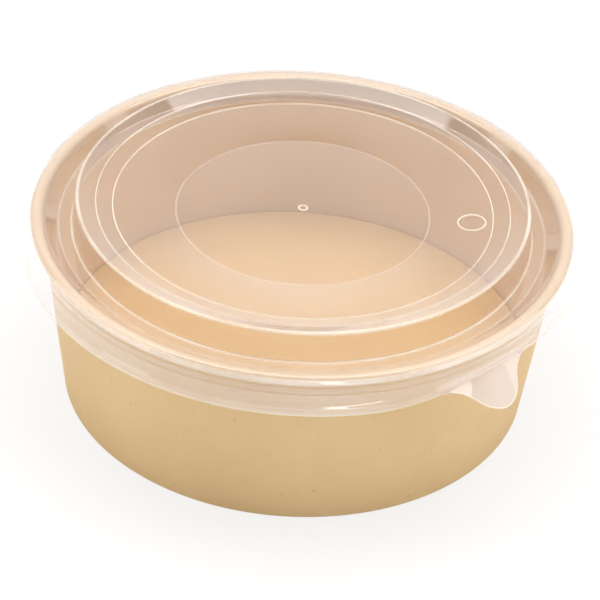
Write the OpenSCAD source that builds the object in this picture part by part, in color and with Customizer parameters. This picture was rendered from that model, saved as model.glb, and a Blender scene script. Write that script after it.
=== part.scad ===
// Kraft salad bowl with a clear lid that snaps over its rolled rim.
// Millimetres, +Z up. The origin is the centre of the foot ring on the table,
// and azimuths are counted from +X. The lid's pull tab points to the front right.

/* [Bowl] */
// Diameter over the rolled rim
rim_d = 185; // [183:1:200]
// Diameter over the foot
foot_d = 161; // [148:1:163]
// Height from the table to the top of the rolled rim
bowl_h = 67; // [50:1:90]
// Thickness of the kraft board
board_t = 0.5; // [0.35:0.05:0.6]
// Diameter of the rolled rim's section
roll_d = 4.2; // [3.6:0.1:4.8]
// How far the board turns round inside the roll, in degrees
roll_turn = 430; // [370:10:450]
// Height of the base disc's upper face above the table
floor_z = 13; // [12:0.5:20]
// Bend radius where the base disc turns down into its skirt
disc_bend_r = 1.2; // [0.8:0.1:2]
// Gap between the raw edge of the hem and the underside of the base disc
hem_gap = 2.5; // [1:0.5:5]
// Air left under the base disc's skirt inside the fold
fold_slack = 0.3; // [0.1:0.1:1]

/* [Lap seam] */
// Width over which the outer layer settles back onto the wall, from its raw edge
lap_w = 20; // [12:1:30]
// Direction of the lap's raw edge around the bowl, in degrees
lap_az = 98; // [60:1:130]

/* [Lid] */
// Wall thickness of the lid
lid_t = 0.5; // [0.35:0.05:0.6]
// Clearance between the lid and the rolled rim
rim_gap = 0.3; // [0.2:0.05:0.5]
// Extra room beside the roll, above the lid's snap groove
channel_slack = 0.4; // [0.2:0.05:0.8]
// Depth of the stacking ledge below the top of the rim
ledge_drop = 3.8; // [3:0.1:5]
// Clearance between the dome's foot and the hem of a bowl stacked on it
nest_gap = 0.4; // [0.2:0.1:0.8]
// Clearance between the bowl's wall and the outer edge of the ledge
plug_gap = 4.8; // [3:0.1:5.2]
// Height of the dome's crest above the ledge
dome_rise = 11.4; // [8:0.1:11.7]
// How far the dome's wall leans inward from foot to crest
dome_lean = 1.1; // [0.5:0.1:2]
// Radius of the dome's crest
crest_r = 1.1; // [0.8:0.1:2]
// Width of the sloping band inside the crest
band_w = 6.65; // [5:0.05:9]
// How far the sloping band falls
band_drop = 2.55; // [1.5:0.05:3.5]
// Width of the bevel between the band and the panel
bevel_w = 5.75; // [4:0.05:8]
// How far the bevel falls
bevel_drop = 1.25; // [0.8:0.05:2]
// Diameter of the sunk disc in the middle of the panel
step_d = 86; // [60:1:90]
// Depth of the sunk disc
step_drop = 0.9; // [0.5:0.1:1.5]
// Width of the soft step round the sunk disc
step_w = 2.6; // [2:0.1:4]

/* [Skirt] */
// Depth of the lid's lower edge below the top of the rim
skirt_drop = 12.9; // [9:0.1:16]
// How far the skirt leans outward from the groove down to its flare
skirt_lean = 0.4; // [0.1:0.1:1]
// Height of the flare at the skirt's lower edge
flare_h = 3.4; // [2.5:0.1:4]
// Width of the flare
flare_w = 0.8; // [0.5:0.1:1.5]
// Width of the turned-out lip at the lower edge
lip_w = 0.5; // [0.4:0.05:1]
// How far the lip falls across its width
lip_fall = 0.15; // [0.1:0.05:0.3]

/* [Pull tab] */
// Thickness of the pull tab
tab_t = 0.4; // [0.3:0.05:0.45]
// Width of the pull tab
tab_w = 20.6; // [16:0.1:26]
// Reach of the pull tab beyond the lip
tab_reach = 10.5; // [8:0.1:14]
// Radius of the pull tab's corners
tab_corner_r = 9; // [6:0.1:9.5]
// Radius of the blends beside the pull tab
tab_root_r = 6; // [4:0.1:8]
// Droop of the pull tab, in degrees
tab_droop = 19; // [5:1:30]
// Direction of the pull tab around the bowl, in degrees
tab_az = 311.7; // [290:0.1:330]

/* [Moulded marks] */
// Diameter of the ring round the moulding gate in the middle
gate_d = 3.5; // [3:0.1:6]
// Diameter of the plain moulded ring on the panel
mark_d = 10; // [6:0.5:14]
// Distance from the panel's edge to the middle of the plain ring
mark_inset = 7.2; // [7.2:0.1:12]
// Direction of the plain ring around the panel, in degrees
mark_az = 356.6; // [0:0.1:360]
// Width of the moulded lines
line_w = 0.6; // [0.4:0.1:0.8]
// Height of the moulded lines
line_h = 0.25; // [0.15:0.05:0.3]

/* [Hidden] */
$fn = 180;
arc_step = 15;
// Where two shapes of one piece join, one bites into the other by this much
bite = 0.25;

rim_r = rim_d / 2;
foot_r = foot_d / 2;
roll_r = roll_d / 2;

// The wall's outer face runs from the foot to the inner side of the roll
roll_centre = [rim_r - roll_r, bowl_h - roll_r];
foot_to_roll = roll_centre - [foot_r, 0];
wall_lean = atan2(foot_to_roll.x, foot_to_roll.y)
    - asin((roll_r - board_t) / norm(foot_to_roll));
wall_dir = [sin(wall_lean), cos(wall_lean)];
wall_in = [-cos(wall_lean), sin(wall_lean)];

// Layers of the foot, counted inward from the wall's outer face
wall_mid = board_t / 2;
skirt_mid = board_t * 3 / 2;
hem_mid = board_t * 5 / 2;
hem_in = board_t * 3;
fold_air = 0.03;
fold_r = board_t / 2 + fold_air;
hem_top = floor_z - board_t - hem_gap;

// The roll's own layers, with air between them
coil_air = 0.1;
coil_r = roll_r - board_t / 2;
coil_tuck = board_t + coil_air;
tuck_from = 200;
tuck_to = 330;
coil_step = 10;

// The lap seam
lap_deg = lap_w / foot_r * 180 / PI;
lap_top = bowl_h - roll_d;

// The lid's mid-surface, from the rim inward
channel_top = bowl_h + rim_gap + lid_t / 2;
channel_r = rim_r + rim_gap + channel_slack + lid_t / 2;
groove_r = rim_r + rim_gap + lid_t / 2;
groove_below_roll = 0.6;
groove_z = bowl_h - roll_d - groove_below_roll;
groove_h = 1.4;
skirt_r = channel_r + skirt_lean;
flare_r = skirt_r + flare_w;
lip_r = flare_r + lip_w;
lip_z = bowl_h - skirt_drop + lid_t / 2;
ledge_z = bowl_h - ledge_drop - lid_t / 2;
ledge_r = wall_point(board_t, ledge_z).x - plug_gap;
dome_r = wall_point(hem_in, 0).x - nest_gap - lid_t / 2;
crest_z = ledge_z + dome_rise;
band_r = dome_r - dome_lean - band_w;
band_z = crest_z - band_drop;
panel_r = band_r - bevel_w;
panel_z = band_z - bevel_drop;
step_r = step_d / 2;
sunk_z = panel_z - step_drop;
plug_r = rim_r - roll_d - rim_gap;

// Corner radii of that mid-line, from the middle outward
step_corner_r = 2;
bevel_corner_r = 1.5;
dome_foot_r = 0.6;
ledge_corner_r = 1;
channel_inner_r = 1.4;
channel_outer_r = 2;
groove_corner_r = 1;
groove_deep_r = 0.8;
flare_from_r = 2;
lip_corner_r = 0.4;

// Part of a turn that holds the whole tab, in degrees
tab_slice = 40;

KRAFT = "#d8b989";
KRAFT_INSIDE = "#e4c294";
CLEAR = [0.93, 0.90, 0.88, 0.4];

// Geometry helpers

function unit(v) = v / norm(v);
function turn_of(a) = a - 360 * round(a / 360);
function left_of(a, b) = let (d = unit(b - a)) [-d.y, d.x];
function on_circle(centre, r, a) = centre + r * [cos(a), sin(a)];

// Point of the foot's layered wall at a height, some way in from its outer face
function wall_point(depth, z) =
    let (s = (z - wall_in.y * depth) / wall_dir.y)
    [foot_r, 0] + wall_in * depth + wall_dir * s;

// Arc that rounds corner b between a and c
function round_corner(a, b, c, r) =
    let (u = unit(a - b), v = unit(c - b), half = acos(u * v) / 2)
    let (mid = b + unit(u + v) * r / sin(half))
    let (p = b + u * r / tan(half) - mid, q = b + v * r / tan(half) - mid)
    let (from = atan2(p.y, p.x), sweep = turn_of(atan2(q.y, q.x) - from))
    let (n = max(2, ceil(abs(sweep) / arc_step)))
    [for (i = [0:n]) on_circle(mid, r, from + sweep * i / n)];

// Mid-line through corners [r, z, corner radius], with its first and last ones sharp
function rounded(corners) =
    let (last = len(corners) - 1, p = [for (c = corners) [c[0], c[1]]])
    [for (i = [0:last])
        each (i == 0 || i == last) ? [p[i]]
            : round_corner(p[i - 1], p[i], p[i + 1], corners[i][2])];

// The mid-line moved sideways, with its corners mitred
function moved(p, d) =
    [for (i = [0:len(p) - 1])
        let (n1 = left_of(p[max(i - 1, 0)], p[max(i, 1)]))
        let (n2 = left_of(p[min(i, len(p) - 2)], p[min(i + 1, len(p) - 1)]))
        p[i] + d * (n1 + n2) / (1 + n1 * n2)];

// Sheet of even thickness along a mid-line
module sheet_section(p, t) {
    outer = moved(p, t / 2);
    inner = moved(p, -t / 2);
    polygon(concat(outer, [for (i = [len(inner) - 1:-1:0]) inner[i]]));
}

// Mid-line of the roll, from the wall over the top and round inside itself
function roll_radius(turned) =
    coil_r - coil_tuck * min(1, max(0, (turned - tuck_from) / (tuck_to - tuck_from)));
roll_line = [for (turned = [0:coil_step:roll_turn])
    on_circle(roll_centre, roll_radius(turned), 180 - wall_lean - turned)];

// One kraft blank: hem, folded foot, wall and rolled rim, with its glued lap
module side_wall() {
    hem_and_fold = rounded([
        wall_point(hem_mid, hem_top),
        concat(wall_point(hem_mid, board_t / 2), fold_r),
        concat(wall_point(wall_mid, board_t / 2), fold_r),
        roll_line[0]
    ]);
    below_roll = [for (i = [0:len(hem_and_fold) - 2]) hem_and_fold[i]];
    color(KRAFT) {
        rotate_extrude() sheet_section(concat(below_roll, roll_line), board_t);
        rotate([0, 0, lap_az]) lap();
    }
}

// The lap's outer layer: full board thickness at its raw edge, and from there round
// to nothing. A cone of smaller radius, set off centre, gives it its outer face.
module lap() {
    low = wall_point(-board_t, 0).x;
    high = wall_point(-board_t, bowl_h).x;
    r = high - board_t;
    shift = board_t * (board_t + 2 * r) / (2 * (r + board_t - r * cos(lap_deg)));
    intersection() {
        rotate_extrude(angle = lap_deg) lap_zone();
        translate([shift, 0, 0]) cylinder(h = bowl_h, r1 = low - shift, r2 = high - shift);
    }
}

// Section of the zone outside the wall that the lap lies in, from foot to roll
module lap_zone() {
    polygon([
        wall_point(0, board_t),
        wall_point(-2 * board_t, board_t),
        wall_point(-2 * board_t, lap_top),
        wall_point(0, lap_top)
    ]);
}

// Base disc with its turned-down skirt, held between the wall and the hem
module base_disc() {
    color(KRAFT_INSIDE)
        rotate_extrude()
            sheet_section(rounded([
                [0, floor_z - board_t / 2],
                concat(wall_point(skirt_mid, floor_z - board_t / 2), disc_bend_r),
                wall_point(skirt_mid, board_t + fold_slack)
            ]), board_t);
}

// The lid's mid-line, from the middle out over the dome and the rim to the lip
lid_line = rounded([
    [0, sunk_z],
    [step_r - step_w / 2, sunk_z, step_corner_r],
    [step_r + step_w / 2, panel_z, step_corner_r],
    [panel_r, panel_z, bevel_corner_r],
    [band_r, band_z, bevel_corner_r],
    [dome_r - dome_lean, crest_z, crest_r],
    [dome_r, ledge_z, dome_foot_r],
    [ledge_r, ledge_z, ledge_corner_r],
    [plug_r, channel_top, channel_inner_r],
    [channel_r, channel_top, channel_outer_r],
    [channel_r, groove_z + groove_h, groove_corner_r],
    [groove_r, groove_z, groove_deep_r],
    [channel_r, groove_z - groove_h, groove_corner_r],
    [skirt_r, lip_z + flare_h, flare_from_r],
    [flare_r, lip_z, lip_corner_r],
    [lip_r, lip_z - lip_fall]
]);

// One clear moulding: dome, stacking ledge, rim channel, skirt and pull tab
module lid() {
    color(CLEAR) {
        rotate_extrude() sheet_section(lid_line, lid_t);
        pull_tab();
        moulded_ring(gate_d, sunk_z);
        rotate([0, 0, mark_az])
            translate([panel_r - mark_inset, 0, 0])
                moulded_ring(mark_d, panel_z);
    }
}

// Plain raised line in a ring on the lid's upper face
module moulded_ring(d, mid_z) {
    translate([0, 0, mid_z])
        rotate_extrude()
            translate([d / 2 - line_w / 2, 0])
                square([line_w, lid_t / 2 + line_h]);
}

// The tab goes on from the lip as a drooping leaf, cut to its outline
module pull_tab() {
    rotate([0, 0, tab_az])
        intersection() {
            rotate([0, 0, -tab_slice / 2]) rotate_extrude(angle = tab_slice) tab_section();
            linear_extrude(bowl_h) tab_outline();
        }
}

// Slice of the drooping cone that the tab is cut from; its root ends in the lip
module tab_section() {
    low = lip_fall + (lid_t - tab_t) / 2;
    reach = tab_reach + bite;
    sheet_section([
        [lip_r - bite, lip_z - low + bite * tan(tab_droop)],
        [lip_r + reach, lip_z - low - reach * tan(tab_droop)]
    ], tab_t);
}

// Outline from above: two round corners, blended into the lip by two hollow arcs
module tab_outline() {
    tip = lip_r + tab_reach;
    corner = [tip - tab_corner_r, max(0, tab_w / 2 - tab_corner_r)];
    root_r = lip_r - bite / 2;
    blend_dist = root_r + tab_root_r;
    apart = norm(corner);
    reach = tab_corner_r + tab_root_r;
    bend = acos((apart ^ 2 + blend_dist ^ 2 - reach ^ 2) / (2 * apart * blend_dist));
    blend = on_circle([0, 0], blend_dist, atan2(corner.y, corner.x) + bend);
    on_lip = blend * root_r / blend_dist;
    on_corner = blend + (corner - blend) * tab_root_r / reach;
    inside = flare_r * cos(tab_slice / 2);
    difference() {
        union() {
            polygon([
                [inside, -on_lip.y],
                [on_lip.x, -on_lip.y],
                [blend.x, -blend.y],
                [on_corner.x, -on_corner.y],
                [corner.x, -corner.y],
                [tip, -corner.y],
                [tip, corner.y],
                corner,
                on_corner,
                blend,
                on_lip,
                [inside, on_lip.y]
            ]);
            for (side = [-1, 1])
                translate([corner.x, side * corner.y]) circle(tab_corner_r);
        }
        for (side = [-1, 1])
            translate([blend.x, side * blend.y]) circle(tab_root_r);
    }
}

side_wall();
base_disc();
lid();
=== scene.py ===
# %% [markdown]
# # A kraft salad bowl with a clear lid
# The real bowl is three pieces. One sheet of kraft board is wrapped into a leaning wall,
# with its top rolled outward into a rim and its foot folded inward. A second sheet is the
# base disc, and the lid is one clear plastic moulding. The imported model gives their size
# and place, so it is loaded first.

import math

import bmesh
import bpy
from mathutils import Matrix, Vector


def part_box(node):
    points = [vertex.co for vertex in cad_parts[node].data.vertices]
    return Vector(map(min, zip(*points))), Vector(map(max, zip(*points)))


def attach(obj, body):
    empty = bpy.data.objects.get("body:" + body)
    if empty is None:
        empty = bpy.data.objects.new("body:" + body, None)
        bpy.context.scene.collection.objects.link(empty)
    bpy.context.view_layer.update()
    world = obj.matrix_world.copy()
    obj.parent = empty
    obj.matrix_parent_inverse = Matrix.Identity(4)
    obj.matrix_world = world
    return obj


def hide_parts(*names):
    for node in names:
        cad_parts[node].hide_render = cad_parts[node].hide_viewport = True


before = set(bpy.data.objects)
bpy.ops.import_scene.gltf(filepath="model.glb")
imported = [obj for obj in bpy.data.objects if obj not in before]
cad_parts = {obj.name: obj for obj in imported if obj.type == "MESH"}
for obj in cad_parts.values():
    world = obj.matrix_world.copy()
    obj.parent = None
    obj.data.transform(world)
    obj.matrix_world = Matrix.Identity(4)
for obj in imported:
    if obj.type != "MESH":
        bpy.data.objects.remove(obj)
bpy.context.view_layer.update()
MM = 0.001

# %% [markdown]
# The photographer stood about 1.1 m away and looked down on the bowl at 36 degrees with a
# long lens, and the camera was turned a little, so the bowl seems to lean to the right.
# A camera can be placed by hand and eye, but here its three axes are worked out from those
# angles, which is easier to check: the lens is the one that makes 1 mm of the object at
# that distance 2.8 pixels of a frame that is 600 pixels wide.

# %% Camera
LENS_MM = 192
SENSOR_MM = 36
LOOK_DOWN = math.radians(35.9)
CAMERA_ROLL = math.radians(3.6)
DISTANCE = 1131 * MM
AIM_LEFT = 2.5 * MM
AIM_ABOVE = 25.1 * MM

forward = Vector((0, math.cos(LOOK_DOWN), -math.sin(LOOK_DOWN)))
turn = Matrix.Rotation(CAMERA_ROLL, 3, -forward)
right = turn @ Vector((1, 0, 0))
up = turn @ Vector((0, math.sin(LOOK_DOWN), math.cos(LOOK_DOWN)))

camera_data = bpy.data.cameras.new("camera")
camera_data.lens = LENS_MM
camera_data.sensor_width = SENSOR_MM
camera_data.clip_start = 0.05
camera = bpy.data.objects.new("camera", camera_data)
bpy.context.scene.collection.objects.link(camera)
place = right * AIM_LEFT + up * AIM_ABOVE - forward * DISTANCE
camera.matrix_world = Matrix.Translation(place) @ Matrix((right, up, -forward)).transposed().to_4x4()
bpy.context.scene.camera = camera
print("camera at", [round(v, 3) for v in place])

# %% [markdown]
# ## The kraft board
# Uncoated kraft board is brown paper made of long wood fibres. From a step away it shows
# soft clouds where the pulp lies thicker, a few short darker and lighter fibres, and small
# dark flecks. All of that is the same on every sheet, so it is one shader node group that
# the board's materials share. Noise textures make it: a thin band of a noise, where its
# value passes one half, is a fine curly line, and a second noise breaks it into fibres.

# %% Helpers for shader nodes
def add_node(tree, kind, **values):
    """A new node; a keyword is one of its inputs by name, or else one of its properties."""
    node = tree.nodes.new(kind)
    for key, value in values.items():
        name = key.replace("_", " ").title()
        if name in node.inputs:
            node.inputs[name].default_value = value
        else:
            setattr(node, key, value)
    return node


def math_node(tree, operation, a, b=0.5, c=0.5, clamp=False):
    """A Math node whose inputs are numbers or sockets."""
    node = tree.nodes.new("ShaderNodeMath")
    node.operation = operation
    node.use_clamp = clamp
    for socket, value in zip(node.inputs, (a, b, c)):
        if isinstance(value, bpy.types.NodeSocket):
            tree.links.new(value, socket)
        else:
            socket.default_value = value
    return node.outputs[0]


def mixed_colour(tree, mask, below, above):
    """A colour that goes from below to above by the mask."""
    node = tree.nodes.new("ShaderNodeMix")
    node.data_type = "RGBA"
    for name, value in (("Factor_Float", mask), ("A_Color", below), ("B_Color", above)):
        socket = next(s for s in node.inputs if s.identifier == name)
        if isinstance(value, bpy.types.NodeSocket):
            tree.links.new(value, socket)
        else:
            socket.default_value = value
    return next(s for s in node.outputs if s.identifier == "Result_Color")


def mapped_range(tree, value, low, high, to_low=0.0, to_high=1.0):
    """The value stretched so that low to high becomes to_low to to_high, and cut off there."""
    node = add_node(tree, "ShaderNodeMapRange", interpolation_type="SMOOTHSTEP")
    tree.links.new(value, node.inputs["Value"])
    for name, number in (("From Min", low), ("From Max", high), ("To Min", to_low), ("To Max", to_high)):
        node.inputs[name].default_value = number
    return node.outputs["Result"]


def noise(tree, place, per_metre, detail=2.0, distortion=0.0):
    """Noise with a number of waves to the metre, at a place given by a vector socket."""
    node = add_node(tree, "ShaderNodeTexNoise", scale=per_metre, detail=detail, distortion=distortion)
    tree.links.new(place, node.inputs["Vector"])
    return node.outputs["Fac"]


# %% Node group: kraft paper
def kraft_paper_group():
    """Tone from -1 to 1, fibres, flecks and height of kraft paper, from a place in metres."""
    group = bpy.data.node_groups.new("kraft paper", "ShaderNodeTree")
    group.interface.new_socket("Place", in_out="INPUT", socket_type="NodeSocketVector")
    for name in ("Tone", "Fibres", "Flecks", "Height"):
        group.interface.new_socket(name, in_out="OUTPUT", socket_type="NodeSocketFloat")
    given = group.nodes.new("NodeGroupInput")
    result = group.nodes.new("NodeGroupOutput")
    place = given.outputs["Place"]

    clouds = noise(group, place, 28, detail=3)
    mottle = noise(group, place, 160, detail=3)
    cloud_tone = math_node(group, "MULTIPLY_ADD", clouds, 1.5, -1.0)
    tone = math_node(group, "MULTIPLY_ADD", mottle, 0.5, cloud_tone)

    curls = noise(group, place, 190, 1, 1.5)
    line = math_node(group, "ABSOLUTE", math_node(group, "SUBTRACT", curls, 0.5))
    thin = mapped_range(group, line, 0.0, 0.014, 1.0, 0.0)
    broken = mapped_range(group, noise(group, place, 420, 2), 0.56, 0.66)
    fibres = math_node(group, "MULTIPLY", thin, broken)

    spots = mapped_range(group, noise(group, place, 520, 2, 0.6), 0.70, 0.76)
    few = mapped_range(group, noise(group, place, 60, 1), 0.45, 0.6)
    flecks = math_node(group, "MULTIPLY", spots, few)

    grain = noise(group, place, 1400, 3)
    height = math_node(group, "ADD", math_node(group, "MULTIPLY", grain, 0.6),
                       math_node(group, "MULTIPLY", fibres, 0.4))
    for name, socket in (("Tone", tone), ("Fibres", fibres), ("Flecks", flecks), ("Height", height)):
        group.links.new(socket, result.inputs[name])
    return group


KRAFT_PAPER = kraft_paper_group()


# %% Material: kraft board
def kraft_board(name, light, dark, roughness, coat=0.0, coat_roughness=0.3, bump=0.25):
    """Kraft board between two tones, with or without a clear coating."""
    material = bpy.data.materials.new(name)
    material.use_nodes = True
    tree = material.node_tree
    shader = tree.nodes["Principled BSDF"]
    where = tree.nodes.new("ShaderNodeTexCoord").outputs["Object"]
    paper = tree.nodes.new("ShaderNodeGroup")
    paper.node_tree = KRAFT_PAPER
    tree.links.new(where, paper.inputs["Place"])

    tone = mapped_range(tree, paper.outputs["Tone"], -0.45, 0.45)
    colour = mixed_colour(tree, tone, (*dark, 1), (*light, 1))
    fibre_colour = tuple(0.74 * v for v in dark)
    fleck_colour = tuple(0.42 * v for v in dark)
    fibres = math_node(tree, "MULTIPLY", paper.outputs["Fibres"], 0.40)
    flecks = math_node(tree, "MULTIPLY", paper.outputs["Flecks"], 0.55)
    colour = mixed_colour(tree, fibres, colour, (*fibre_colour, 1))
    colour = mixed_colour(tree, flecks, colour, (*fleck_colour, 1))
    tree.links.new(colour, shader.inputs["Base Color"])

    rough = math_node(tree, "MULTIPLY_ADD", tone, 0.06, roughness - 0.03)
    tree.links.new(rough, shader.inputs["Roughness"])
    relief = add_node(tree, "ShaderNodeBump", strength=bump, distance=0.00006)
    tree.links.new(paper.outputs["Height"], relief.inputs["Height"])
    tree.links.new(relief.outputs["Normal"], shader.inputs["Normal"])
    shader.inputs["Coat Weight"].default_value = coat
    shader.inputs["Coat Roughness"].default_value = coat_roughness
    shader.inputs["Specular IOR Level"].default_value = 0.35
    return material


BOARD_OUTSIDE = kraft_board(
    "kraft board, outside", (0.700, 0.500, 0.262), (0.655, 0.455, 0.228), 0.62
)
# The coated inside is paler than the floor's board: painted sheen of the coating where the wall is seen at
# a slant, which also offsets the golden light bounced from the floor
BOARD_INSIDE = kraft_board(
    "kraft board, coated inside", (0.790, 0.620, 0.425), (0.745, 0.575, 0.385), 0.42,
    coat=0.35, bump=0.12,
)
BOARD_FLOOR = kraft_board(
    "kraft board, coated floor", (0.760, 0.545, 0.290), (0.715, 0.500, 0.255), 0.42,
    coat=0.35, bump=0.12,
)
RAW_EDGE = kraft_board(
    "kraft board, cut edge", (0.700, 0.520, 0.300), (0.560, 0.400, 0.220), 0.85, bump=0.6
)

# %% [markdown]
# ## Sheets from a line
# Board and moulded plastic are both thin sheets of even thickness that run round the
# bowl's axis. The plainest way to make such a sheet is to draw the middle line of its
# section, round its corners, spin it once round the axis and give it its thickness.
# A corner is rounded by bevelling its point. The offset of a bevel is how far the arc
# starts from the corner, and for a radius and a turn that is radius x tan(turn / 2).

# %% Helpers for spun sheets
STEPS_ROUND = 360
FINE_ARC = math.radians(9)
FINE_STEP_MM = 4
AXIS = Vector((0, 0, 1))


def at(r, z):
    """A point of a section: r mm from the axis and z mm above the table."""
    return Vector((r * MM, 0, z * MM))


def draw_line(bm, spots):
    """Joins new points at the spots with edges, in order."""
    points = [bm.verts.new(spot) for spot in spots]
    for a, b in zip(points, points[1:]):
        bm.edges.new((a, b))
    return points


def round_corner(bm, point, before, after, radius_mm):
    """Rounds a point of a line between the spots before and after, and returns the arc's points."""
    turned = math.pi - (before - point.co).angle(after - point.co)
    arc = bmesh.ops.bevel(
        bm, geom=[point], affect="VERTICES", offset_type="OFFSET",
        offset=radius_mm * MM * math.tan(turned / 2),
        segments=max(2, math.ceil(turned / FINE_ARC), math.ceil(turned * radius_mm / FINE_STEP_MM)),
        profile=0.5, material=-1,
    )
    return arc["verts"]


def rounded_line(bm, corners):
    """Draws a line through (r, z, corner radius) in mm and returns its last point."""
    spots = [at(r, z) for r, z, _ in corners]
    points = draw_line(bm, spots)
    for i in range(1, len(corners) - 1):
        round_corner(bm, points[i], spots[i - 1], spots[i + 1], corners[i][2])
    return points[-1]


def spin_round(bm):
    """Spins all that is in bm once round the axis, and closes the seam and the pole."""
    bmesh.ops.spin(
        bm, geom=bm.verts[:] + bm.edges[:], cent=(0, 0, 0), axis=AXIS,
        angle=math.tau, steps=STEPS_ROUND, use_merge=True, use_duplicate=False,
    )
    bmesh.ops.remove_doubles(bm, verts=bm.verts[:], dist=1e-7)
    bmesh.ops.recalc_face_normals(bm, faces=bm.faces[:])


def new_piece(name, bm, materials):
    """An object made of bm, with smooth faces, in the scene."""
    mesh = bpy.data.meshes.new(name)
    bm.to_mesh(mesh)
    bm.free()
    for material in materials:
        mesh.materials.append(material)
    mesh.shade_smooth()
    piece = bpy.data.objects.new(name, mesh)
    bpy.context.scene.collection.objects.link(piece)
    return piece


def give_thickness(piece, thickness_mm, back=0, edge=0):
    """Makes a solid sheet of a surface, half the thickness to each side, for good."""
    solid = piece.modifiers.new("thickness", "SOLIDIFY")
    solid.thickness = thickness_mm * MM
    solid.offset = 0
    solid.use_even_offset = True
    solid.material_offset = back
    solid.material_offset_rim = edge
    bpy.context.view_layer.update()
    graph = bpy.context.evaluated_depsgraph_get()
    shaped = bpy.data.meshes.new_from_object(piece.evaluated_get(graph))
    piece.modifiers.clear()
    piece.data = shaped


def reopened(piece):
    """A bmesh of a piece's mesh, to add to it."""
    bm = bmesh.new()
    bm.from_mesh(piece.data)
    return bm


def put_back(bm, piece):
    """Writes the bmesh into the piece, with crisp edges where faces meet at over 40 degrees."""
    bm.to_mesh(piece.data)
    bm.free()
    piece.data.shade_smooth()
    piece.data.set_sharp_from_angle(angle=math.radians(40))


# %% [markdown]
# ## The wall
# The wall, the rolled rim and the folded foot are one sheet. The line starts at the raw
# edge of the hem inside the foot, goes down and round the fold, up the leaning wall and
# then round the roll, which turns once and a bit more, so that its end lies inside.
# The roll is drawn by spinning one point round the middle of the roll.

# %% Sizes of the bowl
rim_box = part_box("side_wall")
RIM_R = rim_box[1].x / MM
BOWL_H = rim_box[1].z / MM
FOOT_R = 80.5
BOARD_T = 0.5
ROLL_R = 2.1
ROLL_TURN = 430
FLOOR_Z = 13
HEM_GAP = 2.5
FOLD_SLACK = 0.3
FOLD_R = 0.28
DISC_BEND_R = 1.2
COIL_R = ROLL_R - BOARD_T / 2
COIL_TUCK = BOARD_T + 0.1
TUCK_FROM = 200
TUCK_OVER = 130
ROLL_STEPS = 72
WALL_MID = 0.5 * BOARD_T
DISC_MID = 1.5 * BOARD_T
HEM_MID = 2.5 * BOARD_T
roll_centre = (RIM_R - ROLL_R, BOWL_H - ROLL_R)
across = (roll_centre[0] - FOOT_R, roll_centre[1])
LEAN = math.atan2(*across) - math.asin((ROLL_R - BOARD_T) / math.hypot(*across))


def in_wall(depth, z):
    """Point of the wall at a height, depth mm in from its outer face."""
    along = (z - math.sin(LEAN) * depth) / math.cos(LEAN)
    return FOOT_R - math.cos(LEAN) * depth + math.sin(LEAN) * along, z


print(f"rim {2 * RIM_R:.1f} mm, height {BOWL_H:.1f} mm, wall leans {math.degrees(LEAN):.2f} degrees")


# %% Wall, foot and rolled rim
def draw_roll(bm, start):
    """Draws the roll on from the wall's top end and tucks its inner turn in."""
    middle = at(*roll_centre)
    bm.verts.ensure_lookup_table()
    first_new = len(bm.verts)
    bmesh.ops.spin(
        bm, geom=[start], cent=middle, axis=(0, 1, 0), angle=math.radians(ROLL_TURN),
        steps=ROLL_STEPS, use_merge=False, use_duplicate=False,
    )
    bm.verts.ensure_lookup_table()
    for i, point in enumerate(bm.verts[first_new:]):
        turned = ROLL_TURN * (i + 1) / ROLL_STEPS
        tuck = COIL_TUCK * min(1, max(0, (turned - TUCK_FROM) / TUCK_OVER))
        point.co = middle + (point.co - middle) * (COIL_R - tuck) / COIL_R


def wall_piece():
    bm = bmesh.new()
    angle = math.radians(180) - LEAN
    top = (roll_centre[0] + COIL_R * math.cos(angle), roll_centre[1] + COIL_R * math.sin(angle))
    end = rounded_line(bm, [
        (*in_wall(HEM_MID, FLOOR_Z - BOARD_T - HEM_GAP), 0),
        (*in_wall(HEM_MID, BOARD_T / 2), FOLD_R),
        (*in_wall(WALL_MID, BOARD_T / 2), FOLD_R),
        (*top, 0),
    ])
    draw_roll(bm, end)
    spin_round(bm)
    wall_face = max(bm.faces, key=lambda f: f.calc_area())
    if wall_face.normal.dot(wall_face.calc_center_median()) < 0:
        bmesh.ops.reverse_faces(bm, faces=bm.faces[:])
    piece = new_piece("wall", bm, [BOARD_OUTSIDE, BOARD_INSIDE, RAW_EDGE])
    give_thickness(piece, BOARD_T, back=1, edge=2)
    return piece


# %% Lap seam
LAP_AZ = math.radians(98)
LAP_W = 20
LAP_TOP = BOWL_H - 2 * ROLL_R
LAP_TURN = LAP_W / FOOT_R
LAP_STEPS = 14
LAP_BURIED = 0.1
LAP_PROUD = 0.02


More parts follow.
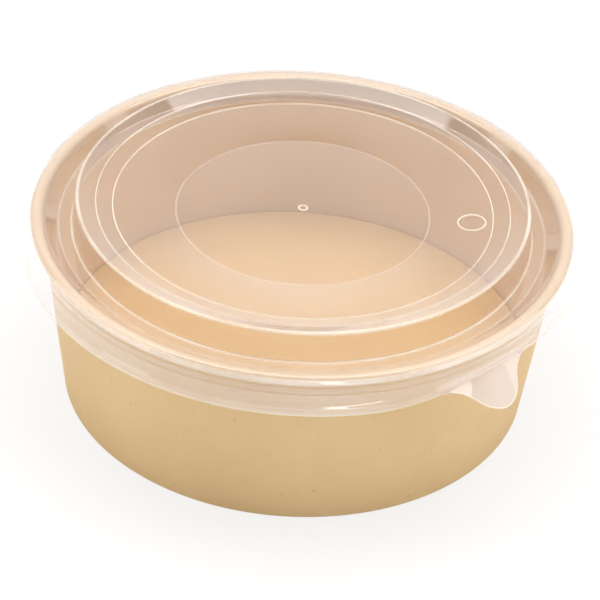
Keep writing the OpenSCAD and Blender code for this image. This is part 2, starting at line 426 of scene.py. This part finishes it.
def add_lap(bm):
    """The outer layer of the glued seam: as thick as the board at its cut edge, and from there
    round it settles onto the wall."""
    rows = (BOARD_T, LAP_TOP)
    inner = [bm.verts.new(at(*in_wall(LAP_BURIED, z))) for z in rows]
    outer = [bm.verts.new(at(*in_wall(-BOARD_T, z))) for z in reversed(rows)]
    start = bm.faces.new(inner + outer)
    bmesh.ops.rotate(bm, verts=inner + outer, cent=(0, 0, 0), matrix=Matrix.Rotation(LAP_AZ, 3, "Z"))
    old = set(bm.verts) - set(inner + outer)
    bmesh.ops.spin(
        bm, geom=[start], cent=(0, 0, 0), axis=AXIS, angle=LAP_TURN, steps=LAP_STEPS,
        use_merge=False, use_duplicate=False,
    )
    new = [v for v in bm.verts if v not in old]
    for point in new:
        z = point.co.z / MM
        if point.co.xy.length > in_wall(0, z)[0] * MM:
            turned = math.atan2(point.co.y, point.co.x) % math.tau - LAP_AZ
            layer = -BOARD_T * (1 - turned / LAP_TURN) + LAP_PROUD
            point.co.xy = point.co.xy.normalized() * in_wall(layer, z)[0] * MM
    faces = list({face for point in new for face in point.link_faces})
    bmesh.ops.recalc_face_normals(bm, faces=faces)
    for face in faces:
        face.material_index = 0
    cut_edge = Vector((math.sin(LAP_AZ), -math.cos(LAP_AZ), 0))
    for face in faces:
        if face.normal.dot(cut_edge) > 0.9:
            face.material_index = 2


wall = wall_piece()
bm = reopened(wall)
add_lap(bm)
put_back(bm, wall)
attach(wall, "bowl")
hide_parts("side_wall")
print("wall:", len(wall.data.polygons), "faces")

# %% [markdown]
# ## The base disc
# The disc is pressed into the wall from above: its edge turns down into a skirt, and the
# foot's hem is folded up over that skirt and sealed to it. So it is a flat sheet with one
# small bend, made the same way.


# %% Base disc
def base_piece():
    bm = bmesh.new()
    floor_mid = FLOOR_Z - BOARD_T / 2
    rounded_line(bm, [
        (0, floor_mid, 0),
        (*in_wall(DISC_MID, floor_mid), DISC_BEND_R),
        (*in_wall(DISC_MID, BOARD_T + FOLD_SLACK), 0),
    ])
    spin_round(bm)
    middle_face = min(bm.faces, key=lambda f: f.calc_center_median().xy.length)
    if middle_face.normal.z < 0:
        bmesh.ops.reverse_faces(bm, faces=bm.faces[:])
    piece = new_piece("base", bm, [BOARD_FLOOR, BOARD_OUTSIDE, RAW_EDGE])
    give_thickness(piece, BOARD_T, back=1, edge=2)
    return piece


base = base_piece()
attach(base, "bowl")
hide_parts("base_disc")
print("base:", len(base.data.polygons), "faces")

# %% [markdown]
# ## The clear lid's plastic
# The lid is thin clear polypropylene. It lets most light through, reflects a few percent
# where it is seen square on and much more where it is seen along its face, and its own
# haze makes it milky where the eye looks through a long way of it. A glass shader would
# bend every ray through both faces and keep the lamps out of the bowl, which takes many
# samples to clear. So the sheet is a mix: clear, milky by the angle of sight, and glossy
# by a power of that angle, and each of its two faces adds its share. What the lid mirrors
# is seen without the lid's own shine, as a second reflection in thin plastic is hardly
# ever seen. Moulded lines get a painted highlight: extra haze in a warm cream tone.


# %% Material: clear plastic
# Share of the painted highlight that moulded lines get
CREASE_HIGHLIGHT = 0.55
# Haze share of frosted plastic; on the tab it partly stands for a painted reflection
FROST_AND_SHEEN_SHARE = 0.10
SQUARE_ON_SHINE = 0.04
SHINE_POWER = 4.2


def clear_plastic(name, haze, grazing_haze, haze_colour, crease_highlight_colour, tint, edge_tint, roughness):
    """Thin clear sheet: haze is its share seen square on, grazing_haze is added along its face,
    and what shines through it takes tint square on and edge_tint along its face.
    The mesh's attributes add to it: a painted highlight in a cream tone at moulded lines,
    haze on the frosted skirt, and on the tab stronger haze that is partly frosted plastic and
    partly painted reflection; joined hides the skirt's end where the tab goes on from it."""
    material = bpy.data.materials.new(name)
    material.use_nodes = True
    tree = material.node_tree
    tree.nodes.remove(tree.nodes["Principled BSDF"])
    where = tree.nodes.new("ShaderNodeTexCoord").outputs["Object"]
    ripple = add_node(tree, "ShaderNodeBump", strength=0.3, distance=0.0002)
    tree.links.new(noise(tree, where, 60, 1), ripple.inputs["Height"])

    facing = add_node(tree, "ShaderNodeLayerWeight", blend=0.5).outputs["Facing"]
    along = math_node(tree, "POWER", facing, SHINE_POWER)
    shine = math_node(tree, "MULTIPLY_ADD", along, 1 - SQUARE_ON_SHINE, SQUARE_ON_SHINE)
    mirrored = tree.nodes.new("ShaderNodeLightPath").outputs["Is Glossy Ray"]
    shine = math_node(tree, "MULTIPLY", shine, math_node(tree, "SUBTRACT", 1.0, mirrored))
    cloud = mapped_range(tree, noise(tree, where, 25, 2), 0.3, 0.7, 0.85, 1.15)
    uneven = mapped_range(tree, noise(tree, where, 35, 2), 0.35, 0.65, 0.55, 1.0)
    haze_and_highlight = math_node(tree, "MULTIPLY_ADD", math_node(tree, "POWER", facing, 2.0), grazing_haze, haze)
    # Moulded lines add a painted highlight in a cream tone; the frosted skirt adds haze, and on the tab
    # that haze is partly painted reflection
    for attribute, share in (("crease_highlight", CREASE_HIGHLIGHT), ("frost_and_sheen", FROST_AND_SHEEN_SHARE)):
        mark = add_node(tree, "ShaderNodeAttribute", attribute_name=attribute).outputs["Fac"]
        if attribute == "crease_highlight":
            haze_and_highlight_colour = mixed_colour(tree, mark, (*haze_colour, 1), (*crease_highlight_colour, 1))
            mark = math_node(tree, "MULTIPLY", mark, uneven)
        haze_and_highlight = math_node(tree, "MULTIPLY_ADD", mark, share, haze_and_highlight)
    haze_and_highlight = math_node(tree, "MULTIPLY", haze_and_highlight, cloud, clamp=True)
    joined = add_node(tree, "ShaderNodeAttribute", attribute_name="joined").outputs["Fac"]
    seen = math_node(tree, "SUBTRACT", 1.0, joined, clamp=True)
    haze_and_highlight = math_node(tree, "MULTIPLY", haze_and_highlight, seen)
    shine = math_node(tree, "MULTIPLY", shine, seen)

    clear = tree.nodes.new("ShaderNodeBsdfTransparent")
    shade = mixed_colour(tree, math_node(tree, "POWER", facing, 3.0), (*tint, 1), (*edge_tint, 1))
    tree.links.new(shade, clear.inputs["Color"])
    haze_and_highlight_shader = tree.nodes.new("ShaderNodeBsdfDiffuse")
    tree.links.new(haze_and_highlight_colour, haze_and_highlight_shader.inputs["Color"])
    glossy = add_node(tree, "ShaderNodeBsdfAnisotropic", color=(1, 1, 1, 1), roughness=roughness)
    tree.links.new(ripple.outputs["Normal"], glossy.inputs["Normal"])
    sheet = tree.nodes.new("ShaderNodeMixShader")
    surface = tree.nodes.new("ShaderNodeMixShader")
    for node, mask, below, above in ((sheet, haze_and_highlight, clear, haze_and_highlight_shader), (surface, shine, sheet, glossy)):
        tree.links.new(mask, node.inputs[0])
        tree.links.new(below.outputs[0], node.inputs[1])
        tree.links.new(above.outputs[0], node.inputs[2])
    tree.links.new(surface.outputs[0], tree.nodes["Material Output"].inputs["Surface"])
    return material


# The cream colour is that of the painted highlight at moulded lines
CLEAR = clear_plastic(
    "clear polypropylene", haze=0.018, grazing_haze=0.10, haze_colour=(0.93, 0.88, 0.93),
    crease_highlight_colour=(1.0, 0.92, 0.76), tint=(0.985, 0.975, 0.97), edge_tint=(0.95, 0.92, 0.91),
    roughness=0.05,
)

# %% [markdown]
# ## The lid
# From the middle outward the section is a sunk disc with a slight crown, a panel that is
# dished towards it, a bevel, a sloping band up to the dome's crest, the dome's wall, the flat
# ledge that the next bowl's foot stands on, the channel that presses over the rolled rim, with
# a small slanted shoulder outside, and the skirt that bends out to its lip. The skirt is shorter
# on both sides of the pull tab.

# %% Sizes of the lid
LID_T = 0.5
RIM_GAP = 0.3
LEDGE_DROP = 3.8
CHANNEL_TOP = BOWL_H + RIM_GAP + LID_T / 2
CHANNEL_R = RIM_R + RIM_GAP + 0.4 + LID_T / 2
GROOVE_R = RIM_R + RIM_GAP + LID_T / 2
GROOVE_Z = BOWL_H - 2 * ROLL_R - 0.6
SKIRT_R = CHANNEL_R + 0.3
FLARE_R = CHANNEL_R + 1.2
LIP_R = CHANNEL_R + 1.52
LIP_Z = BOWL_H - 12.9 + LID_T / 2
LEDGE_Z = BOWL_H - LEDGE_DROP - LID_T / 2
LEDGE_R = in_wall(BOARD_T, LEDGE_Z)[0] - 4.8
DOME_R = in_wall(3 * BOARD_T, 0)[0] - 0.4 - LID_T / 2
CREST_R = DOME_R - 1.1
CREST_Z = LEDGE_Z + 11.17
BAND_R = CREST_R - 6.65
BAND_Z = CREST_Z - 2.32
PANEL_R = BAND_R - 5.75
PANEL_Z = BAND_Z - 1.25
DISH_R = 52.7
DISH_Z = PANEL_Z - 0.39
SUNK_R = 43.3
SUNK_EDGE_Z = PANEL_Z - 2.05
SUNK_Z = PANEL_Z - 0.9
PLUG_R = RIM_R - 2 * ROLL_R - RIM_GAP

# Painted highlight on the channel's slanted shoulder, where the rolled rim shows a cream highlight, and the
# band it covers
SHOULDER_HIGHLIGHT = 0.7
SHOULDER_W = 0.6
SHOULDER_DROP = 2.1
GROOVE_HALF = 1.4
LIP_END = 0.15

# Each corner of the lid's line: r, z, its radius, and the strength of its painted highlight line
lid_line = [
    (0, SUNK_Z, 0, 0),
    (SUNK_R / 2, SUNK_Z, 780, 0),
    (SUNK_R, SUNK_EDGE_Z, 1.5, 0.3),
    (DISH_R, DISH_Z, 120, 0),
    (PANEL_R, PANEL_Z, 0.8, 1),
    (BAND_R, BAND_Z, 0.8, 1),
    (CREST_R, CREST_Z, 0.6, 0.8),
    (DOME_R, LEDGE_Z, 0.6, 0.8),
    (LEDGE_R, LEDGE_Z, 1, 0.3),
    (PLUG_R, CHANNEL_TOP, 1.4, 0),
    (CHANNEL_R - 1.3, CHANNEL_TOP, 0.8, 0),
    (CHANNEL_R - 0.55, CHANNEL_TOP - 0.85, 0.5, SHOULDER_HIGHLIGHT),
    (CHANNEL_R, CHANNEL_TOP - 2, 0.5, SHOULDER_HIGHLIGHT),
    (CHANNEL_R, GROOVE_Z + GROOVE_HALF, 1, 0.3),
    (GROOVE_R, GROOVE_Z, 0.8, 0.3),
    (CHANNEL_R, GROOVE_Z - GROOVE_HALF, 1, 0.3),
    (SKIRT_R, LIP_Z + 4, 6, 0),
    (FLARE_R, LIP_Z + 2.1, 0.6, 0.2),
    (LIP_R - 0.2, LIP_Z + 0.7, 0.3, 0.6),
    (LIP_R, LIP_Z - LIP_END, 0, 1),
]
# How far beyond each arc the painted highlight line reaches
CREASE_W = 0.2
print(f"lid: crest {CREST_Z + LID_T / 2:.1f} mm high, {2 * LIP_R:.1f} mm over the lip")


# %% Where the skirt is short
TAB_AZ = math.radians(311.7)
RISE = 4.6
RISE_AZ = math.radians(318)
RISE_TURN = math.radians(32)
MERGE_TURN = math.radians(11)
MERGE_SOFT = math.radians(3)
SKIRT_TOP = GROOVE_Z - GROOVE_HALF
SKIRT_FROST_H = 2
# The tab is hazier than the skirt: partly frosted plastic, partly a painted reflection of the bright
# overhead
TAB_FROST_AND_SHEEN = 1.8


def lip_rise(azimuth):
    """How far the lip lies above its lowest place, in mm, in a direction round the axis."""
    away = abs((azimuth - RISE_AZ + math.pi) % math.tau - math.pi)
    return RISE * 0.5 * (1 + math.cos(math.pi * min(1, away / RISE_TURN)))


def beside_tab(azimuth):
    """0 where the tab grows out of the lip, 1 away from it."""
    away = abs((azimuth - TAB_AZ + math.pi) % math.tau - math.pi)
    return min(1, max(0, (away - MERGE_TURN + MERGE_SOFT) / MERGE_SOFT))


# %% The lid's sheet
def lid_sheet():
    """The lid without its tab. Two points beside each corner end its painted highlight line."""
    bm = bmesh.new()
    crease_highlight = bm.verts.layers.float.new("crease_highlight")
    frost_and_sheen = bm.verts.layers.float.new("frost_and_sheen")
    joined = bm.verts.layers.float.new("joined")
    spots = [at(r, z) for r, z, _, _ in lid_line]
    line = [spots[0]]
    corners = {}
    for i in range(1, len(spots) - 1):
        before, here, after = spots[i - 1:i + 2]
        turned = math.pi - (before - here).angle(after - here)
        reach = lid_line[i][2] * MM * math.tan(turned / 2) + CREASE_W * MM
        corners[len(line) + 1] = i
        line.append(here + (before - here).normalized() * reach)
        line.append(here)
        line.append(here + (after - here).normalized() * reach)
    line += [spots[-1]]
    points = draw_line(bm, line)
    for place, i in corners.items():
        arc = round_corner(bm, points[place], line[place - 1], line[place + 1], lid_line[i][2])
        # The arc's points carry the corner's painted highlight
        for point in arc:
            point[crease_highlight] = lid_line[i][3]
    # The lip's end carries a painted highlight too
    points[-1][crease_highlight] = lid_line[-1][3]
    spin_round(bm)
    for point in bm.verts:
        r, z = point.co.xy.length / MM, point.co.z / MM
        azimuth = math.atan2(point.co.y, point.co.x)
        # The skirt below the groove is frosted, more so where the tab grows out, there partly painted
        # reflection; the painted highlight lines fade out there
        if r > RIM_R - 1 and z < GROOVE_Z:
            plain = beside_tab(azimuth)
            point[frost_and_sheen] = min(1, (GROOVE_Z - z) / SKIRT_FROST_H) * (TAB_FROST_AND_SHEEN - (TAB_FROST_AND_SHEEN - 1) * plain)
            point[crease_highlight] *= plain
            if r > LIP_R - 0.1:
                point[joined] = 1 - plain
        # The shoulder band gets the painted highlight
        if r > CHANNEL_R - SHOULDER_W and CHANNEL_TOP - SHOULDER_DROP < z < CHANNEL_TOP:
            point[crease_highlight] = SHOULDER_HIGHLIGHT
        if r > RIM_R and z < SKIRT_TOP:
            depth = (SKIRT_TOP - z) / (SKIRT_TOP - LIP_Z)
            point.co.z += depth * lip_rise(azimuth) * MM
    middle_face = min(bm.faces, key=lambda f: f.calc_center_median().xy.length)
    if middle_face.normal.z < 0:
        bmesh.ops.reverse_faces(bm, faces=bm.faces[:])
    piece = new_piece("clear_lid", bm, [CLEAR])
    give_thickness(piece, LID_T)
    return piece


lid = lid_sheet()
print("lid sheet:", len(lid.data.polygons), "faces")

# %% [markdown]
# The moulding has a small ring round the gate, where the plastic was injected or pressed,
# and a plain raised ring near the panel's edge. Their lines are half a millimetre wide, so
# each is a small section spun round the ring's own middle. The tab that the lid is pulled
# off by is a leaf that goes on from the lip: its outline is drawn with rounded corners,
# filled, cut into strips so that it can bend, and drooped from the lip to the tab's tip.

# %% Moulded rings
LINE_W = 0.6
LINE_H = 0.25
LINE_BEVEL = 0.18
RING_STEPS = 64
GATE_D = 3.5
MARK_D = 10
MARK_INSET = 7.2
MARK_DROP = 0.33
MARK_TILT = math.radians(4)
MARK_AZ = math.radians(356.6)


def add_ring(bm, r, azimuth, mid_z, diameter, tilt=0.0):
    """A raised line in a ring on the lid's upper face, with a round back and tilted inward."""
    crease_highlight = bm.verts.layers.float["crease_highlight"]
    low = mid_z
    high = mid_z + LID_T / 2 + LINE_H
    outer = diameter / 2
    section = [(outer - LINE_W, low), (outer - LINE_W, high), (outer, high), (outer, low)]
    old = set(bm.verts)
    points = draw_line(bm, [at(r, z) for r, z in section])
    bm.edges.new((points[-1], points[0]))
    bmesh.ops.bevel(
        bm, geom=[points[1], points[2]], affect="VERTICES", offset_type="OFFSET",
        offset=LINE_BEVEL * MM, segments=3, profile=0.5, material=-1,
    )
    section = [v for v in bm.verts if v not in old]
    edges = list({e for v in section for e in v.link_edges})
    bmesh.ops.spin(
        bm, geom=section + edges, cent=(0, 0, 0), axis=AXIS, angle=math.tau, steps=RING_STEPS,
        use_merge=True, use_duplicate=False,
    )
    ring = [v for v in bm.verts if v not in old]
    middle = Vector((r * MM * math.cos(azimuth), r * MM * math.sin(azimuth), 0))
    bmesh.ops.translate(bm, verts=ring, vec=middle)
    along = Vector((-math.sin(azimuth), math.cos(azimuth), 0))
    pivot = middle + AXIS * mid_z * MM
    bmesh.ops.rotate(bm, verts=ring, cent=pivot, matrix=Matrix.Rotation(-tilt, 3, along))
    bmesh.ops.recalc_face_normals(bm, faces=list({f for v in ring for f in v.link_faces}))
    # The whole ring carries the painted highlight of moulded lines
    for point in ring:
        point[crease_highlight] = 1


# %% Pull tab
TAB_T = 0.4
TAB_LENGTH = 10.6
TAB_TIP = LIP_R + TAB_LENGTH
TAB_TIP_Z = LIP_Z - 3.85
TAB_HALF = 5.1
TAB_CORNER_R = 9.6
TAB_NECK = (LIP_R - 0.7, 13.05)
TAB_ROOT_R = 14
TAB_ROOT_TURN = math.radians(11.5)
TAB_EDGE = 0.35
ROOT_END_R = LIP_R - 0.12
ROOT_R = LIP_R - 0.3
ROOT_STEPS = 12
CUT_STEP_OUT = 1
CUT_STEP_ACROSS = 2.5
EDGE_FADE = 1.5
# The tab's tip is hazier still, partly painted reflection
TIP_FROST_AND_SHEEN = 1.9


def tab_outline(bm):
    """The tab's outline from above, in mm along X: out along one side, round the tip and back."""
    turns = (-TAB_ROOT_TURN, TAB_ROOT_TURN)
    ends = [Vector((ROOT_END_R * math.cos(a), ROOT_END_R * math.sin(a), 0)) for a in turns]
    neck_x, neck_y = TAB_NECK
    spots = [ends[0], (neck_x, -neck_y, 0), (TAB_TIP, -TAB_HALF, 0), (TAB_TIP, TAB_HALF, 0),
             (neck_x, neck_y, 0), ends[1]]
    spots = [Vector(spot) * MM for spot in spots]
    points = draw_line(bm, spots)
    for i, radius in ((1, TAB_ROOT_R), (2, TAB_CORNER_R), (3, TAB_CORNER_R), (4, TAB_ROOT_R)):
        round_corner(bm, points[i], spots[i - 1], spots[i + 1], radius)
    root = [points[-1]]
    for i in range(1, ROOT_STEPS):
        turned = TAB_ROOT_TURN * (1 - 2 * i / ROOT_STEPS)
        root.append(bm.verts.new(Vector((math.cos(turned), math.sin(turned), 0)) * ROOT_R * MM))
    root.append(points[0])
    for a, b in zip(root, root[1:]):
        bm.edges.new((a, b))
    bmesh.ops.remove_doubles(bm, verts=bm.verts[:], dist=1e-6)


def cut_across(bm, place, direction):
    """Cuts all faces along a plane."""
    bmesh.ops.bisect_plane(
        bm, geom=bm.verts[:] + bm.edges[:] + bm.faces[:], plane_co=place, plane_no=direction,
        dist=1e-6,
    )


def add_tab(lid_bm):
    """Adds the tab, a leaf of even thickness that droops from the lip, to the lid's mesh."""
    bm = bmesh.new()
    crease_highlight = bm.verts.layers.float.new("crease_highlight")
    frost_and_sheen = bm.verts.layers.float.new("frost_and_sheen")
    joined = bm.verts.layers.float.new("joined")
    tab_outline(bm)
    leaf = bmesh.ops.contextual_create(bm, geom=bm.edges[:])["faces"]
    rim = set(bm.verts)
    bmesh.ops.inset_region(bm, faces=leaf, thickness=TAB_EDGE * MM, use_even_offset=True, use_boundary=True)
    # The tab's rim carries a painted highlight that grows from the lip outward; inside the lip it is marked
    # joined
    for point in rim:
        out = point.co.xy.length / MM - LIP_R
        point[crease_highlight] = min(1, max(0, out / EDGE_FADE))
        point[joined] = float(out < 0)
    for i in range(1, 12):
        cut_across(bm, ((LIP_R - 1 + i * CUT_STEP_OUT) * MM, 0, 0), (1, 0, 0))
    for i in range(-6, 7):
        cut_across(bm, (0, i * CUT_STEP_ACROSS * MM, 0), (0, 1, 0))
    bmesh.ops.remove_doubles(bm, verts=bm.verts[:], dist=2e-6)
    for point in bm.verts:
        out = (point.co.xy.length / MM - LIP_R) / TAB_LENGTH
        azimuth = TAB_AZ + math.atan2(point.co.y, point.co.x)
        root_z = LIP_Z - LIP_END - LID_T / 2 + lip_rise(azimuth)
        point.co.z = (root_z + out * (TAB_TIP_Z - root_z)) * MM
        # Haze on the tab, partly frosted plastic and partly painted reflection
        point[frost_and_sheen] = TAB_FROST_AND_SHEEN + (TIP_FROST_AND_SHEEN - TAB_FROST_AND_SHEEN) * min(1, max(0, out * 3))
    raised = bmesh.ops.extrude_face_region(bm, geom=bm.faces[:])["geom"]
    top = [part for part in raised if isinstance(part, bmesh.types.BMVert)]
    bmesh.ops.translate(bm, verts=top, vec=(0, 0, TAB_T * MM))
    bmesh.ops.recalc_face_normals(bm, faces=bm.faces[:])
    bmesh.ops.rotate(bm, verts=bm.verts[:], cent=(0, 0, 0), matrix=Matrix.Rotation(TAB_AZ, 3, "Z"))
    print("tab:", len(bm.faces), "faces, open edges:", sum(not e.is_manifold for e in bm.edges))
    mesh = bpy.data.meshes.new("tab")
    bm.to_mesh(mesh)
    bm.free()
    lid_bm.from_mesh(mesh)
    bpy.data.meshes.remove(mesh)


bm = reopened(lid)
add_ring(bm, 0, 0, SUNK_Z, GATE_D)
add_ring(bm, PANEL_R - MARK_INSET, MARK_AZ, PANEL_Z - MARK_DROP, MARK_D, MARK_TILT)
add_tab(bm)
put_back(bm, lid)
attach(lid, "lid")
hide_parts("lid")
print("lid:", len(lid.data.polygons), "faces")

# %% [markdown]
# ## Floor and light
# The bowl stands on a plain white floor under soft studio light: a large lamp overhead, a
# little behind the bowl, one on each side, a low strip in front, and an even glow from all
# round. The camera sees a white world. Reflections see white walls and, high up, a darker
# ceiling, because a clear lid shows its shape only by what it mirrors. The world lights the
# bowl at a plain level. The floor shows part of its own white to the camera, so that the
# shadow under the bowl stays soft.

# %% Floor
FLOOR_HALF = 3.0
FLOOR_OWN_WHITE = 0.75


def floor_material():
    material = bpy.data.materials.new("white floor")
    material.use_nodes = True
    tree = material.node_tree
    tree.nodes.remove(tree.nodes["Principled BSDF"])
    matte = add_node(tree, "ShaderNodeBsdfDiffuse", color=(0.9, 0.9, 0.9, 1))
    white = add_node(tree, "ShaderNodeEmission", strength=1.0)
    mix = tree.nodes.new("ShaderNodeMixShader")
    seen = tree.nodes.new("ShaderNodeLightPath").outputs["Is Camera Ray"]
    tree.links.new(math_node(tree, "MULTIPLY", seen, FLOOR_OWN_WHITE), mix.inputs[0])
    tree.links.new(matte.outputs[0], mix.inputs[1])
    tree.links.new(white.outputs[0], mix.inputs[2])
    tree.links.new(mix.outputs[0], tree.nodes["Material Output"].inputs["Surface"])
    return material


bm = bmesh.new()
bmesh.ops.create_grid(bm, x_segments=1, y_segments=1, size=FLOOR_HALF)
floor = new_piece("floor", bm, [floor_material()])


# %% Lamps and world
def soft_light(name, place, width, depth, power, roll=0.0):
    """A rectangular lamp that shines on the bowl from a place in metres, turned about its own axis."""
    data = bpy.data.lights.new(name, "AREA")
    data.shape = "RECTANGLE"
    data.size = width
    data.size_y = depth
    data.energy = power
    lamp = bpy.data.objects.new(name, data)
    lamp.location = place
    aim = (Vector((0, 0, 0.04)) - Vector(place)).to_track_quat("-Z", "Y").to_matrix()
    lamp.rotation_euler = (aim @ Matrix.Rotation(roll, 3, "Z")).to_euler()
    bpy.context.scene.collection.objects.link(lamp)


soft_light("overhead", (0.0, 0.25, 1.3), 1.7, 0.96, 17.0)
soft_light("left", (-1.3, -0.25, 0.6), 1.4, 1.0, 6.0)
soft_light("right", (1.3, -0.25, 0.6), 1.4, 1.0, 6.0)
soft_light("front", (0.45, -1.45, 0.36), 1.0, 0.1, 2.0, roll=math.radians(-30))

WORLD_LEVEL = 0.47
CEILING_LEVEL = 0.02
CEILING_FROM = math.radians(45)
CEILING_TO = math.radians(61)
world = bpy.data.worlds.new("studio")
world.use_nodes = True
bpy.context.scene.world = world
tree = world.node_tree
background = tree.nodes["Background"]
background.inputs["Color"].default_value = (1, 1, 1, 1)
path = tree.nodes.new("ShaderNodeLightPath")
direction = tree.nodes.new("ShaderNodeSeparateXYZ")
tree.links.new(tree.nodes.new("ShaderNodeTexCoord").outputs["Generated"], direction.inputs[0])
room = mapped_range(tree, direction.outputs["Z"], math.sin(CEILING_FROM), math.sin(CEILING_TO),
                    1 - WORLD_LEVEL, CEILING_LEVEL - WORLD_LEVEL)
mirrored = math_node(tree, "MAXIMUM", path.outputs["Is Glossy Ray"], path.outputs["Is Transmission Ray"])
level = math_node(tree, "MULTIPLY_ADD", mirrored, room, WORLD_LEVEL)
level = math_node(tree, "MULTIPLY_ADD", path.outputs["Is Camera Ray"], 1 - WORLD_LEVEL, level)
tree.links.new(level, background.inputs["Strength"])
bpy.context.scene.view_settings.view_transform = "Standard"
